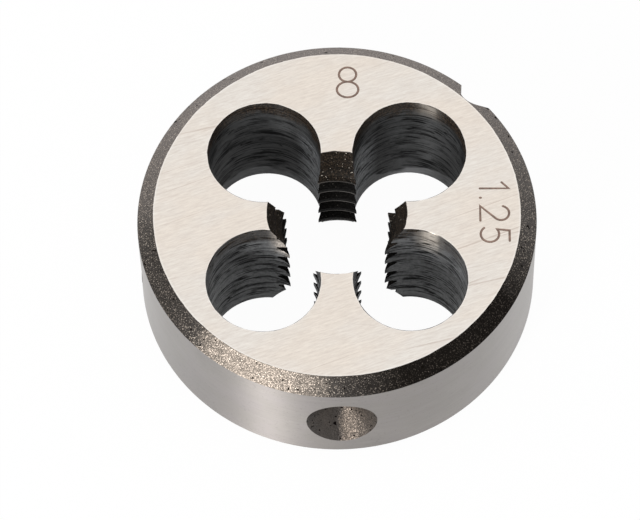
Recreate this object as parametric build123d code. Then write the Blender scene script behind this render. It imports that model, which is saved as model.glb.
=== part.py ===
"""Round threading die for a right-hand M8 x 1.25 thread, made from one hardened disc.

Frame: millimetres, +Z up out of the marked face, origin at the centre of the seat face on the
thread axis. The four threaded lands stand on the X and Y axes and the four clearance holes on
the diagonals between them. The adjusting notch is between +X and +Y.
"""

import math
import os

from build123d import *

# Disc
disc_diameter = 25.0
disc_thickness = 9.0
bevel_width = 1.0  # of both rims, across the face
bevel_height = 0.85  # of both rims, down the wall

# Thread, right-hand, 60 degree profile
thread_diameter = 8.0  # diameter at the bottom of the grooves
bore_diameter = 6.70  # diameter over the tooth crests
thread_pitch = 1.25
thread_angle = 60.0
crest_height_at_x = 0.53  # height above the seat face of a tooth crest on the +X axis
lead_mouth_diameter = 8.75  # where the lead cone meets each face
lead_angle = 54.0  # included angle of the lead cones

# Clearance holes
land_count = 4
clearance_hole_diameter = 7.10
clearance_pitch_diameter = 12.90
clearance_offset = -0.24  # how far the drilled pattern sits off the thread axis, along Y

# Adjusting notch, cut through the full thickness
notch_position = 45.0  # degrees from +X
notch_depth = 1.00
notch_angle = 80.0
notch_root_radius = 0.90

# Conical dimples for the holder's screws, at half the thickness
dimple_positions = (180.0, 271.2)  # degrees from +X
dimple_diameter = 4.40
dimple_angle = 90.0

# Shares and clearances of the cutting solids
groove_flat = thread_pitch / 8  # width of the flat at the bottom of a groove
cut_over = 1.0  # how far a cutting solid runs past the face it opens

disc_radius = disc_diameter / 2
bore_radius = bore_diameter / 2
thread_radius = thread_diameter / 2
land_spacing = 360.0 / land_count


def bevelled_disc():
    """The solid disc with both rims bevelled, turned from half of its section."""
    face_radius = disc_radius - bevel_width
    section = Polyline(
        (0, 0),
        (face_radius, 0),
        (disc_radius, bevel_height),
        (disc_radius, disc_thickness - bevel_height),
        (face_radius, disc_thickness),
        (0, disc_thickness),
        close=True,
    )
    return revolve(Plane.XZ * make_face(section), Axis.Z)


def bore_and_leads():
    """The plain bore at the crest diameter, opened by a lead cone at each face."""
    slope = math.tan(math.radians(lead_angle / 2))
    mouth_radius = lead_mouth_diameter / 2
    lead_depth = (mouth_radius - bore_radius) / slope
    over_radius = mouth_radius + cut_over * slope
    section = Polyline(
        (0, -cut_over),
        (over_radius, -cut_over),
        (bore_radius, lead_depth),
        (bore_radius, disc_thickness - lead_depth),
        (over_radius, disc_thickness + cut_over),
        (0, disc_thickness + cut_over),
        close=True,
    )
    return revolve(Plane.XZ * make_face(section), Axis.Z)


def groove_turn():
    """One turn of the thread groove as a solid, starting on +X with its middle at height 0.

    Its section is a trapezoid, narrow at the groove's bottom and wide just inside the crests.
    """
    meeting_radius = thread_radius - turn_meeting_depth()
    inner_radius = (bore_radius + meeting_radius) / 2
    flank = math.tan(math.radians(thread_angle / 2))
    half_outer = groove_flat / 2
    half_inner = half_outer + (thread_radius - inner_radius) * flank

    def helix(radius, height):
        return Helix(thread_pitch, thread_pitch, radius).moved(Location((0, 0, height)))

    inner_low = helix(inner_radius, -half_inner)
    inner_high = helix(inner_radius, half_inner)
    outer_low = helix(thread_radius, -half_outer)
    outer_high = helix(thread_radius, half_outer)
    loops = (inner_low, outer_low, outer_high, inner_high)
    sides = [Face.make_surface_from_curves(loops[i - 1], loops[i]) for i in range(len(loops))]
    first_end = Face(Wire.make_polygon([loop @ 0 for loop in loops]))
    last_end = Face(Wire.make_polygon([loop @ 1 for loop in loops]))
    return Solid(Shell([*sides, first_end, last_end]))


def turn_meeting_depth():
    """How far inside the groove's bottom its neighbouring turns would meet."""
    return (thread_pitch - groove_flat) / 2 / math.tan(math.radians(thread_angle / 2))


def thread_grooves():
    """All turns of the groove, each starting in the clearance hole between +X and +Y."""
    start_angle = land_spacing / 2
    groove_height = crest_height_at_x + thread_pitch / 2
    start_height = groove_height + thread_pitch * start_angle / 360.0
    turn = groove_turn()
    first = -math.ceil((start_height + thread_pitch) / thread_pitch)
    last = math.ceil((disc_thickness - start_height) / thread_pitch)
    return [
        turn.moved(Location((0, 0, start_height + number * thread_pitch), (0, 0, start_angle)))
        for number in range(first, last + 1)
    ]


def clearance_holes():
    """Round holes between the lands, which let the chips out and form the cutting edges."""
    hole = Cylinder(
        clearance_hole_diameter / 2,
        disc_thickness + 2 * cut_over,
        align=(Align.CENTER, Align.CENTER, Align.MIN),
    )
    pattern = Location((0, clearance_offset, -cut_over))
    places = PolarLocations(clearance_pitch_diameter / 2, land_count, start_angle=land_spacing / 2)
    return [pattern * place * hole for place in places]


def adjusting_notch():
    """A V notch with a rounded root in the outer wall, where the die can be split to adjust it."""
    half_angle = math.radians(notch_angle / 2)
    root = disc_radius - notch_depth
    centre = root + notch_root_radius
    tangent_x = centre - notch_root_radius * math.sin(half_angle)
    tangent_y = notch_root_radius * math.cos(half_angle)
    mouth_x = disc_radius + cut_over
    mouth_y = tangent_y + (mouth_x - tangent_x) * math.tan(half_angle)
    root_arc = ThreePointArc((tangent_x, -tangent_y), (root, 0), (tangent_x, tangent_y))
    walls = Polyline((tangent_x, tangent_y), (mouth_x, mouth_y), (mouth_x, -mouth_y), (tangent_x, -tangent_y))
    profile = make_face(Curve() + [root_arc, walls])
    notch = extrude(profile, disc_thickness + 2 * cut_over)
    return notch.moved(Location((0, 0, -cut_over), (0, 0, notch_position)))


def screw_dimple(position):
    """A conical dimple on the outer wall, its axis pointing at the thread axis."""
    slope = math.tan(math.radians(dimple_angle / 2))
    mouth_radius = dimple_diameter / 2
    sagitta = disc_radius - math.sqrt(disc_radius**2 - mouth_radius**2)
    depth = mouth_radius / slope + sagitta
    cone = Cone(0, (depth + cut_over) * slope, depth + cut_over, align=(Align.CENTER, Align.CENTER, Align.MIN))
    outward = Location((disc_radius - depth, 0, 0), (0, 90, 0))
    return Location((0, 0, disc_thickness / 2), (0, 0, position)) * outward * cone


def threading_die():
    """The whole die as one solid."""
    die = bevelled_disc()
    die -= bore_and_leads()
    die -= clearance_holes()
    die -= thread_grooves()
    die -= adjusting_notch()
    die -= [screw_dimple(position) for position in dimple_positions]
    return die


os.makedirs("parts", exist_ok=True)
export_step(threading_die(), "parts/threading_die.step")
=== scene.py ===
"""Round threading die for a right-hand M8 x 1.25 thread, with its ground, oxidised and drilled finishes.

The die stands on its plain face at height 0, with the marked face up. The four threaded lands are
on the X and Y axes, the clearance holes on the diagonals and the adjusting notch between +X and +Y.
Shapes are worked out in millimetres and put into the scene in metres.
"""

import itertools
import math
from types import SimpleNamespace

import bpy
import numpy as np
from mathutils import Matrix, Vector
from mathutils.geometry import delaunay_2d_cdt


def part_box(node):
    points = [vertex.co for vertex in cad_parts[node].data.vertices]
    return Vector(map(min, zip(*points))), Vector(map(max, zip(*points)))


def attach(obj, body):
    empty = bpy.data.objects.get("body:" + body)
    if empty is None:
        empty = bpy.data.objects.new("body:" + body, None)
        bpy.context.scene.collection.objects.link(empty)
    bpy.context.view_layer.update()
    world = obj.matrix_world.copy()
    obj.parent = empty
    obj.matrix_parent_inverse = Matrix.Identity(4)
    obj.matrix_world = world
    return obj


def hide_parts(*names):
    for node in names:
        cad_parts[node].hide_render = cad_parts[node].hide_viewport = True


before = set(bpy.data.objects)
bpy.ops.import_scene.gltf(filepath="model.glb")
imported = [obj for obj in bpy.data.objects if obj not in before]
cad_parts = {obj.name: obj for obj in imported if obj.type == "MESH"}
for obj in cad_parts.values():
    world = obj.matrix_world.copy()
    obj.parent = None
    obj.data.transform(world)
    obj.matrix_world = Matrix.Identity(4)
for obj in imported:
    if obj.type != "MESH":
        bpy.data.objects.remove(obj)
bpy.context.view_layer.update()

bl_info = {
    "name": "Round Threading Die",
    "version": (1, 0, 0),
    "blender": (4, 5, 0),
    "location": "3D View > Sidebar > Threading Die",
    "description": "Models a round threading die with ground, oxidised and drilled surfaces",
    "category": "Add Mesh",
}

NODE = "threading_die"
MM = 0.001
TINY = 1e-6
BOX_LOW, BOX_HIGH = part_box(NODE)


# ---------------------------------------------------------------- settings


def length(name, description, millimetres):
    """A length setting, given in millimetres and kept in metres."""
    return bpy.props.FloatProperty(
        name=name, description=description, default=millimetres * MM, precision=5, subtype="DISTANCE"
    )


def angle(name, description, degrees):
    """An angle setting, given in degrees and kept in radians."""
    return bpy.props.FloatProperty(
        name=name, description=description, default=math.radians(degrees), subtype="ANGLE"
    )


def colour(name, description, values):
    """A colour setting in linear light."""
    return bpy.props.FloatVectorProperty(
        name=name, description=description, default=values, size=3, min=0, max=1, subtype="COLOR"
    )


class DieSizes(bpy.types.PropertyGroup):
    """Sizes of the die's forms."""

    disc_diameter: length("Disc diameter", "Diameter of the outer wall", (BOX_HIGH.x - BOX_LOW.x) / MM)
    disc_thickness: length("Disc thickness", "Height of the disc", (BOX_HIGH.z - BOX_LOW.z) / MM)
    bevel_width: length("Bevel width", "Width of the bevel on both rims, across the face", 1.0)
    bevel_height: length("Bevel height", "Height of the bevel on both rims, down the wall", 0.85)
    edge_radius: length("Edge radius", "Rounding of the bevel's edges", 0.06)
    thread_diameter: length("Thread diameter", "Diameter at the bottom of the grooves", 8.0)
    bore_diameter: length("Bore diameter", "Diameter over the tooth crests", 6.70)
    thread_pitch: length("Thread pitch", "Rise of the thread in one turn", 1.25)
    thread_angle: angle("Thread angle", "Angle between the flanks of a groove", 60)
    crest_height: length("Crest height", "Height of a tooth crest on the +X axis", 0.53)
    lead_mouth_diameter: length("Lead mouth", "Diameter of the lead cone at each face", 8.75)
    lead_angle: angle("Lead angle", "Included angle of the lead cones", 54)
    hole_diameter: length("Clearance hole", "Diameter of the clearance holes", 7.10)
    hole_circle: length("Hole circle", "Diameter of the circle through the hole centres", 12.90)
    hole_offset: length("Hole offset", "How far the holes sit off the thread axis, along Y", -0.24)
    rim_break: length("Hole edge break", "Width of the broken edge round the holes", 0.035)
    notch_position: angle("Notch position", "Direction of the adjusting notch from +X", 45)
    notch_depth: length("Notch depth", "Depth of the adjusting notch", 1.00)
    notch_angle: angle("Notch angle", "Angle between the walls of the notch", 80)
    notch_root_radius: length("Notch root", "Radius at the bottom of the notch", 0.90)
    left_dimple: angle("Left dimple", "Direction of the first screw dimple from +X", 180)
    front_dimple: angle("Front dimple", "Direction of the second screw dimple from +X", 271.2)
    dimple_diameter: length("Dimple diameter", "Mouth of the screw dimples", 4.40)
    mark_depth: length("Mark depth", "Depth of the etched numbers", 0.03)
    mark_stroke: length("Mark stroke", "Width of the etched strokes", 0.15)


class DieFinish(bpy.types.PropertyGroup):
    """Colours of the die's surfaces."""

    ground: colour("Ground steel", "Warm ground steel of the faces", (0.86, 0.79, 0.71))
    ground_cool: colour("Cool ground steel", "Cooler patches of the faces", (0.85, 0.81, 0.755))
    wall: colour("Wall steel", "Satin steel of the outer wall", (0.268, 0.245, 0.228))
    oxide: colour("Oxide", "Dark oxide of the bevels", (0.035, 0.029, 0.024))
    # Painted reflection: the paler grey at the back of the bevels
    oxide_grey_sheen: colour("Grey oxide", "Paler oxide at the back of the bevels", (0.185, 0.158, 0.145))
    # Also the colour of the painted highlight at the front left of the bevels
    oxide_worn_and_lit: colour("Worn oxide", "Grains where the oxide is thin", (0.33, 0.28, 0.235))
    drilled: colour("Drilled steel", "Blackened walls of the holes", (0.046, 0.047, 0.048))
    thread: colour("Cut thread", "Blackened thread flanks", (0.006, 0.0055, 0.005))
    lead: colour("Lead cone", "Paler grains of the lead cones", (0.055, 0.042, 0.032))
    notch: colour("Milled notch", "Steel of the adjusting notch", (0.16, 0.15, 0.14))
    dimple: colour("Dimple", "Paler patches of the screw dimples", (0.062, 0.051, 0.044))
    mark: colour("Etched mark", "Brown of the etched numbers", (0.20, 0.135, 0.105))


class StageSettings(bpy.types.PropertyGroup):
    """Camera and light."""

    distance: length("Camera distance", "From the camera to the middle of the marked face", 279)
    elevation: angle("Camera elevation", "Height of the camera over the horizon", 61.04)
    azimuth: angle("Camera azimuth", "Turn of the camera round the die from the front", 0.683)
    roll: angle("Camera roll", "Turn of the camera about its own axis", -0.906)
    aim_right: length("Aim right", "How far right of the face's middle the camera looks", -1.05)
    aim_up: length("Aim up", "How far above the face's middle the camera looks", -2.99)
    lens: bpy.props.FloatProperty(
        name="Lens", description="Focal length in millimetres", default=251.4, unit="CAMERA"
    )
    lamp_power: bpy.props.FloatProperty(
        name="Lamp power", description="Power of the front left lamp", default=2.45, unit="POWER"
    )


def die_measures(sizes):
    """Every size in millimetres and every angle in radians, with the sizes that follow from them."""
    names = sizes.bl_rna.properties.keys()
    lengths = {n: getattr(sizes, n) / MM for n in names if sizes.bl_rna.properties[n].subtype == "DISTANCE"}
    angles = {n: getattr(sizes, n) for n in names if sizes.bl_rna.properties[n].subtype == "ANGLE"}
    d = SimpleNamespace(**lengths, **angles)
    d.radius = d.disc_diameter / 2
    d.face_radius = d.radius - d.bevel_width
    d.bore_radius = d.bore_diameter / 2
    d.thread_radius = d.thread_diameter / 2
    d.hole_radius = d.hole_diameter / 2
    d.hole_distance = d.hole_circle / 2
    d.lead_slope = math.tan(d.lead_angle / 2)
    d.flank_slope = math.tan(d.thread_angle / 2)
    d.groove_flat = d.thread_pitch / 8
    flanks = 2 * (d.thread_radius - d.bore_radius) * d.flank_slope
    d.crest_flat = d.thread_pitch - d.groove_flat - flanks
    return d


# ---------------------------------------------------------------- surface

SHARP_ANGLE = math.radians(32)  # corners sharper than this stay hard in the shading
NOISE_TABLE = np.random.default_rng(7).uniform(-1, 1, 4096)
NOISE_HASH = (73856093, 19349663, 83492791)  # primes that scatter the cells over the table
SEED_STEP = 17.31  # in cells, between the places that two seeds read


class Surface:
    """Points in millimetres and triangles with a finish each, gathered form by form."""

    def __init__(self):
        self.points = []
        self.triangles = []
        self.finishes = []
        self.size = 0

    def add_points(self, points):
        """Adds an array of points and returns an array of their numbers."""
        points = np.asarray(points, float)
        numbers = np.arange(self.size, self.size + points[..., 0].size).reshape(points.shape[:-1])
        self.points.append(points.reshape(-1, 3))
        self.size += numbers.size
        return numbers

    def add_triangles(self, corners, finish):
        """Adds triangles by their point numbers, without those that have shrunk to a line."""
        corners = np.asarray(corners, np.int64).reshape(-1, 3)
        first, second, third = corners.T
        corners = corners[(first != second) & (second != third) & (third != first)]
        self.triangles.append(corners)
        self.finishes.append(np.full(len(corners), FINISHES.index(finish)))

    def add_grid(self, numbers, finish):
        """Adds the cells of a grid. They face along its first axis crossed with its second."""
        a, b = numbers[:-1, :-1], numbers[:-1, 1:]
        c, d = numbers[1:, 1:], numbers[1:, :-1]
        self.add_triangles(np.stack([a, d, c], -1), finish)
        self.add_triangles(np.stack([a, c, b], -1), finish)

    def mesh(self, name):
        """The Blender mesh in metres, with hard edges at corners and between finishes."""
        points = np.concatenate(self.points) * MM
        used, corners = np.unique(np.concatenate(self.triangles), return_inverse=True)
        corners = corners.reshape(-1, 3)
        mesh = bpy.data.meshes.new(name)
        mesh.from_pydata(points[used].tolist(), [], corners.tolist())
        mesh.polygons.foreach_set("material_index", np.concatenate(self.finishes).astype(np.int32))
        mesh.shade_smooth()
        mesh.set_sharp_from_angle(angle=SHARP_ANGLE)
        harden_between_finishes(mesh)
        return mesh


def harden_between_finishes(mesh):
    """Marks the edges between two finishes as sharp, so that each keeps its own smooth shading."""
    edges = np.zeros(len(mesh.loops), np.int32)
    mesh.loops.foreach_get("edge_index", edges)
    finish = np.zeros(len(mesh.polygons), np.int32)
    mesh.polygons.foreach_get("material_index", finish)
    finish = np.repeat(finish, 3)
    low = np.full(len(mesh.edges), len(FINISHES))
    high = np.zeros(len(mesh.edges), int)
    np.minimum.at(low, edges, finish)
    np.maximum.at(high, edges, finish)
    sharp = mesh.attributes.get("sharp_edge") or mesh.attributes.new("sharp_edge", "BOOLEAN", "EDGE")
    marked = np.zeros(len(mesh.edges), bool)
    sharp.data.foreach_get("value", marked)
    sharp.data.foreach_set("value", marked | (low < high))


def noise(points, cell, seed):
    """Smooth noise from -1 to 1 at an array of points, with cells of the given size."""
    grid = np.asarray(points, float) / cell + seed * SEED_STEP
    base = np.floor(grid).astype(np.int64)
    part = grid - base
    part = part * part * (3 - 2 * part)
    total = 0
    for corner in itertools.product((0, 1), repeat=3):
        x, y, z = np.moveaxis((base + corner) * NOISE_HASH, -1, 0)
        value = NOISE_TABLE[(x ^ y ^ z) % len(NOISE_TABLE)]
        total = total + value * np.prod(np.where(corner, part, 1 - part), axis=-1)
    return total


def layered(points, layers):
    """A sum of noises, each layer given as its cell size, its seed and its depth."""
    return sum(depth * noise(points, cell, seed) for cell, seed, depth in layers)


def polar(radius, turn, height):
    """Points from their radius, angle and height, which may be arrays."""
    radius, turn, height = np.broadcast_arrays(radius, turn, height)
    return np.stack([radius * np.cos(turn), radius * np.sin(turn), height], -1)


def within(points, loops):
    """Whether each flat point is enclosed by an odd number of the loops."""
    crossings = np.zeros(len(points), int)
    x, y = points[:, :1], points[:, 1:]
    for loop in loops:
        x0, y0 = loop.T
        x1, y1 = np.roll(loop, -1, axis=0).T
        with np.errstate(divide="ignore", invalid="ignore"):
            reach = x0 + (y - y0) * (x1 - x0) / (y1 - y0)
        crossings += (((y0 > y) != (y1 > y)) & (x < reach)).sum(axis=1)
    return crossings % 2 == 1


def fill_flat(loops, loose_points=None, lines=()):
    """Triangles between closed loops of flat points, which keep the loose points and lines as well.

    Returns the flat points, the triangles turned anticlockwise, and for each point the number
    that it had in the loops, the loose points and the lines together, or -1 if it is new.
    """
    parts = [*loops, *([] if loose_points is None else [loose_points]), *lines]
    starts = np.cumsum([0] + [len(part) for part in parts])
    edges = []
    for loop, start in zip(loops, starts):
        edges += [(start + i, start + (i + 1) % len(loop)) for i in range(len(loop))]
    for line, start in zip(lines, starts[len(parts) - len(lines) :]):
        edges += [(start + i, start + i + 1) for i in range(len(line) - 1)]
    coordinates = [Vector(point) for point in np.concatenate(parts).tolist()]
    made = delaunay_2d_cdt(coordinates, [(int(a), int(b)) for a, b in edges], [], 0, TINY, True)
    points = np.array([tuple(point) for point in made[0]])
    triangles = np.array(made[2])
    sources = np.array([min(source) if source else -1 for source in made[3]])
    triangles = triangles[within(points[triangles].mean(axis=1), loops)]
    a, b, c = np.moveaxis(points[triangles], 1, 0)
    turned = (b - a)[:, 0] * (c - a)[:, 1] - (b - a)[:, 1] * (c - a)[:, 0] < 0
    triangles[turned] = triangles[turned][:, ::-1]
    return points, triangles, sources


# ---------------------------------------------------------------- rims, wall, notch and dimples

RIM_COLUMNS = 720
NOTCH_ARC_STEPS = 5
NOTCH_SAMPLES = 40
BEVEL_ROWS = 7
ROW_GAP = 0.02  # least distance between the first two rows of a bevel
WALL_LINES = 12  # cells down the notch and the wall beside it
WALL_SPACING = 0.6  # between the loose points on the wall
NOTCH_REACH = math.radians(25)  # how far round the rim the columns give way to the notch
NOTCH_MARGIN = 0.8  # half the distance from the notch's middle line at which the grain begins
BEVEL_GRAIN = ((0.19, 1, 0.012), (0.09, 2, 0.0072))  # layers of noise, left by the furnace
EDGE_WANDER = ((0.9, 3, 0.018), (0.22, 4, 0.0126))  # layers of noise in the bevel's inner edge
GRAIN_SHARE = 0.7  # of the grain, in each of radius and depth
LOWER_RIM_SHIFT = 40  # keeps the noise of the lower rim unlike that of the upper one


def notch_root(d, samples):
    """Points along half of the notch's rounded root, as their distances along it and aside."""
    centre = d.radius - d.notch_depth + d.notch_root_radius
    turn = np.linspace(0, math.pi / 2 - d.notch_angle / 2, samples)
    return centre - d.notch_root_radius * np.cos(turn), d.notch_root_radius * np.sin(turn)


def notch_half_angle(d, radius):
    """Half the angle that the notch takes out of the disc at a radius."""
    x, y = notch_root(d, NOTCH_SAMPLES)
    past = np.linspace(0, 1.0, NOTCH_SAMPLES)[1:]
    x = np.concatenate([x, x[-1] + past])
    y = np.concatenate([y, y[-1] + past * math.tan(d.notch_angle / 2)])
    return np.interp(radius, np.hypot(x, y), np.arctan2(y, x), left=0)


def rim_profile(d):
    """Radius and depth down a rim, from the flat face over the bevel to the outer wall."""
    inner, outer, edge = d.face_radius, d.radius, d.edge_radius
    slope = math.atan2(d.bevel_height, d.bevel_width)
    at_face = edge * math.tan(slope / 2)
    at_wall = edge * math.tan(math.pi / 4 - slope / 2)
    over = math.asin(at_face / edge)  # where the rounded edge passes the corner that it replaces
    face_edge = [(inner - at_face, 0)]
    face_edge.append((inner - at_face + edge * math.sin(over / 2), edge - edge * math.cos(over / 2)))
    face_edge.append((inner, edge - edge * math.cos(over)))
    first, last = inner + at_face * math.cos(slope), outer - at_wall * math.cos(slope)
    root = [r for r in np.hypot(*notch_root(d, NOTCH_ARC_STEPS + 1)) if r > first + ROW_GAP]
    bevel = [first, *root, *np.linspace(root[-1], last, BEVEL_ROWS + 1)[1:]]
    middle = math.pi / 4 + slope / 2
    bottom = d.bevel_height + at_wall
    wall_edge = [(outer - edge + edge * math.sin(middle), bottom - edge * math.cos(middle)), (outer, bottom)]
    return np.array([*face_edge, *((r, (r - inner) * math.tan(slope)) for r in bevel), *wall_edge])


def rim_columns(d, radius):
    """Angles of the columns round the rim at a radius, from one side of the notch to the other."""
    away = np.linspace(0, 2 * math.pi, RIM_COLUMNS + 1)
    cut = notch_half_angle(d, radius)
    near = np.minimum(away, 2 * math.pi - away)
    pushed = cut * np.clip(1 - near / NOTCH_REACH, 0, 1)
    return d.notch_position + away + np.where(away < math.pi, pushed, -pushed)


def add_rim(surface, d, top):
    """One bevelled rim. Returns the numbers of its points, row by row from the face to the wall."""
    profile = rim_profile(d)
    radius, depth = profile.T
    turns = np.stack([rim_columns(d, r) for r in radius])
    radius, depth = (np.broadcast_to(values[:, None], turns.shape).copy() for values in (radius, depth))
    places = polar(radius, turns, depth + (0 if top else LOWER_RIM_SHIFT))
    share = (radius - d.face_radius) / d.bevel_width
    on_bevel = np.clip(np.minimum(share, 1 - share) * 8, 0, 1)
    at_face_edge = np.clip(1 - np.abs(share) * 6, 0, 1)
    from_notch = radius[:, :1] * np.abs(np.sin((turns - d.notch_position) / 2))
    clear = np.clip((from_notch - NOTCH_MARGIN) * 2, 0, 1)
    grain = layered(places, BEVEL_GRAIN) * on_bevel * GRAIN_SHARE
    radius += (grain + layered(places, EDGE_WANDER) * at_face_edge) * clear
    depth -= grain * clear
    points = polar(radius, turns, d.disc_thickness - depth if top else depth)
    numbers = surface.add_points(points)
    closed = profile[:, 0] <= d.face_radius
    numbers[closed, -1] = numbers[closed, 0]
    surface.add_grid(numbers if top else numbers[::-1], "oxide_bevel")
    return numbers


def add_notch(surface, d, upper, lower):
    """The walls and root of the adjusting notch. Returns the points of its two mouth edges."""
    profile = rim_profile(d)
    rows = np.flatnonzero(profile[:, 0] >= d.face_radius)
    steps = np.linspace(0, 1, WALL_LINES + 1)[1:-1]
    lines = []
    for side, order in ((0, rows[::-1]), (-1, rows[1:])):
        for row in order:
            radius, depth = profile[row]
            turn = rim_columns(d, radius)[side]
            heights = d.disc_thickness - depth - steps * (d.disc_thickness - 2 * depth)
            between = surface.add_points(polar(radius, turn, heights))
            lines.append([upper[row, side], *between, lower[row, side]])
    lines = np.array(lines)
    surface.add_grid(lines, "milled_notch")
    return lines[0], lines[-1]


DIMPLE_SPOKES = 96
DIMPLE_RINGS = 20
DIMPLE_GRAIN = ((0.24, 5, 0.022), (0.11, 6, 0.0154))  # layers of noise in a dimple's cone
DIMPLE_SHIFT = 9  # keeps the noise of one dimple unlike that of the other
DIMPLE_BLUNT = 0.02  # how far the bottom of a dimple stands off the cone's apex


def add_dimple(surface, d, direction):
    """A conical screw dimple. Returns the points of its mouth and where they lie on the wall."""
    mouth = d.dimple_diameter / 2
    apex = math.sqrt(d.radius**2 - mouth**2) - mouth
    spoke = np.linspace(0, 2 * math.pi, DIMPLE_SPOKES + 1)[:-1]
    across = np.cos(spoke)
    a = 1 + across**2
    reach = (np.sqrt(apex**2 + a * (d.radius**2 - apex**2)) - apex) / a
    share = np.linspace(1, 0, DIMPLE_RINGS + 1)[:-1]
    along = reach * share[:, None]
    out, aside, up = apex + along, along * across, along * np.sin(spoke)
    places = np.stack([out, aside, up + direction * DIMPLE_SHIFT], -1)
    out = out + layered(places, DIMPLE_GRAIN) * np.clip((1 - share[:, None]) * 12, 0, 1)
    middle = d.disc_thickness / 2
    points = polar(np.hypot(out, aside), direction + np.arctan2(aside, out), middle + up)
    numbers = surface.add_points(points)
    bottom = surface.add_points(polar(apex + DIMPLE_BLUNT, direction, [middle]))
    rings = np.vstack([numbers, np.full(DIMPLE_SPOKES, bottom[0])])
    rings = np.hstack([rings, rings[:, :1]])
    surface.add_grid(rings.T, "rough_dimple")
    turn = direction + np.arctan2(aside[0], apex + reach)
    return numbers[0], np.stack([turn * d.radius, middle + up[0]], -1)


def add_wall(surface, d, upper, lower, mouth_edges, dimples):
    """The outer wall between the rims, the notch and the dimples, filled as it lies unrolled."""
    depth = rim_profile(d)[-1, 1]
    turns = rim_columns(d, d.radius)
    top, bottom = d.disc_thickness - depth, depth
    heights = np.linspace(top, bottom, WALL_LINES + 1)[1:-1]
    first, last = mouth_edges
    sides = [
        (lower, turns, bottom),
        (last[1:-1][::-1], np.full(len(heights), turns[-1]), heights[::-1]),
        (upper[::-1], turns[::-1], top),
        (first[1:-1], np.full(len(heights), turns[0]), heights),
    ]
    border = np.concatenate([numbers for numbers, _, _ in sides])
    outline = np.concatenate(
        [np.stack(np.broadcast_arrays(turn * d.radius, height), -1) for _, turn, height in sides]
    )
    loops = [outline, *(mouth_outline for _, mouth_outline in dimples)]
    loose = wall_points(d, turns, bottom, top, dimples)
    _, triangles, sources = fill_flat(loops, loose)
    inner = surface.add_points(polar(d.radius, loose[:, 0] / d.radius, loose[:, 1]))
    known = np.concatenate([border, *(mouth for mouth, _ in dimples), inner])
    surface.add_triangles(known[sources][triangles], "ground_wall")


def wall_points(d, turns, bottom, top, dimples):
    """Points spread over the unrolled wall, clear of its edges and of the dimples."""
    rows = int((top - bottom) / WALL_SPACING)
    columns = int((turns[-1] - turns[0]) * d.radius / WALL_SPACING)
    column, row = np.meshgrid(np.arange(columns), np.arange(rows))
    along = turns[0] * d.radius + (column + 0.5 + 0.5 * (row % 2)) * WALL_SPACING
    height = bottom + (row + 0.5) * (top - bottom) / rows
    points = np.stack([along, height], -1).reshape(-1, 2)
    points = points[points[:, 0] < turns[-1] * d.radius - WALL_SPACING / 3]
    for _, outline in dimples:
        gap = np.hypot(*(points[:, None] - outline[None]).transpose(2, 0, 1)).min(axis=1)
        points = points[(gap > WALL_SPACING / 3) & ~within(points, [outline])]
    return points


# ---------------------------------------------------------------- bore, thread and clearance holes

LAND_CELLS = 15
TOOTH_CELLS = 5  # cells down each side of a tooth, on the wall of the hole
HOLE_CELLS = 44
TOOTH_SIDE = math.radians(46)  # how far round the hole the teeth reach, with some room
FLANK_ROWS = 7
CREST_ROWS = 4
LANDS = 4
LAND_TURN = 2 * math.pi / LANDS
TIP_GUESS = math.radians(18)  # from a land's middle to its tip, bettered in TIP_ROUNDS rounds
TIP_ROUNDS = 12
CREST_ZONE = 0.3  # depth under the crests over which wear and burrs fade out
TIP_WEAR, BACK_WEAR_SHARE = 0.09, 0.3  # of the side lands' front tips, and its share at the back ones
BURR_HEIGHT = 0.02  # at the tips of the crests
TORN_DEPTH, TIP_TORN_DEPTH = 0.008, 0.012  # roughness of the lands, and more of it at their tips
FEED_DEPTH, WAVE_DEPTH = 0.013, 0.020  # of the drill's feed marks and of broader waves in a hole
HOLE_MARGIN = 0.06  # how near a hole's edge a point counts as lying on it
NICKS = ((0.5, 14, 0.5), (0.2, 15, 0.6))  # layers of noise, as shares of the broken edge's width


def thread_rows(d):
    """Places of the grid's rows, in pitches up from a crest, and the thread's radius at each."""
    crest = d.crest_flat / d.thread_pitch / 2
    root = 0.5 - d.groove_flat / d.thread_pitch / 2
    marks = [-0.5, *np.linspace(-root, -crest, FLANK_ROWS + 1)[:-1]]
    marks += [*np.linspace(-crest, crest, CREST_ROWS + 1)[:-1], *np.linspace(crest, root, FLANK_ROWS + 1)]
    turns = range(-2, math.ceil(d.disc_thickness / d.thread_pitch) + 1)
    rows = np.array([turn + mark for turn in turns for mark in marks])
    from_crest = np.abs((rows + 0.5) % 1 - 0.5) * d.thread_pitch
    rise = (from_crest - d.crest_flat / 2) / d.flank_slope
    return rows, np.clip(d.bore_radius + rise, d.bore_radius, d.thread_radius), len(marks)


def row_height(d, rows, turn):
    """Height of the rows at an angle, kept between the broken edges of the two faces."""
    height = d.crest_height + d.thread_pitch * (rows + turn / (2 * math.pi))
    return np.clip(height, d.rim_break, d.disc_thickness - d.rim_break)


def land_radius(d, rows, thread, turn):
    """Radius of a land: the thread, or the lead cone where that cuts deeper."""
    height = row_height(d, rows, turn)
    depth = np.minimum(height, d.disc_thickness - height)
    return np.maximum(thread, d.lead_mouth_diameter / 2 - depth * d.lead_slope)


def hole_centre(d, axis, side):
    """Distance and bearing of the clearance hole on one side of the land at an angle."""
    turn = axis + side * LAND_TURN / 2
    x, y = d.hole_distance * math.cos(turn), d.hole_distance * math.sin(turn) + d.hole_offset
    off = x * math.sin(turn) - y * math.cos(turn)
    distance = math.hypot(x, y)
    return distance, turn - math.asin(off / distance)


def land_tip(d, rows, thread, axis, side):
    """Angle and radius where a land meets the clearance hole on one side of it, row by row."""
    distance, bearing = hole_centre(d, axis, side)
    turn = np.full(len(rows), axis + side * TIP_GUESS)
    for _ in range(TIP_ROUNDS):
        radius = land_radius(d, rows, thread, turn)
        cosine = (distance**2 + radius**2 - d.hole_radius**2) / (2 * distance * radius)
        turn = bearing - side * np.arccos(cosine)
    return turn, radius


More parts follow.
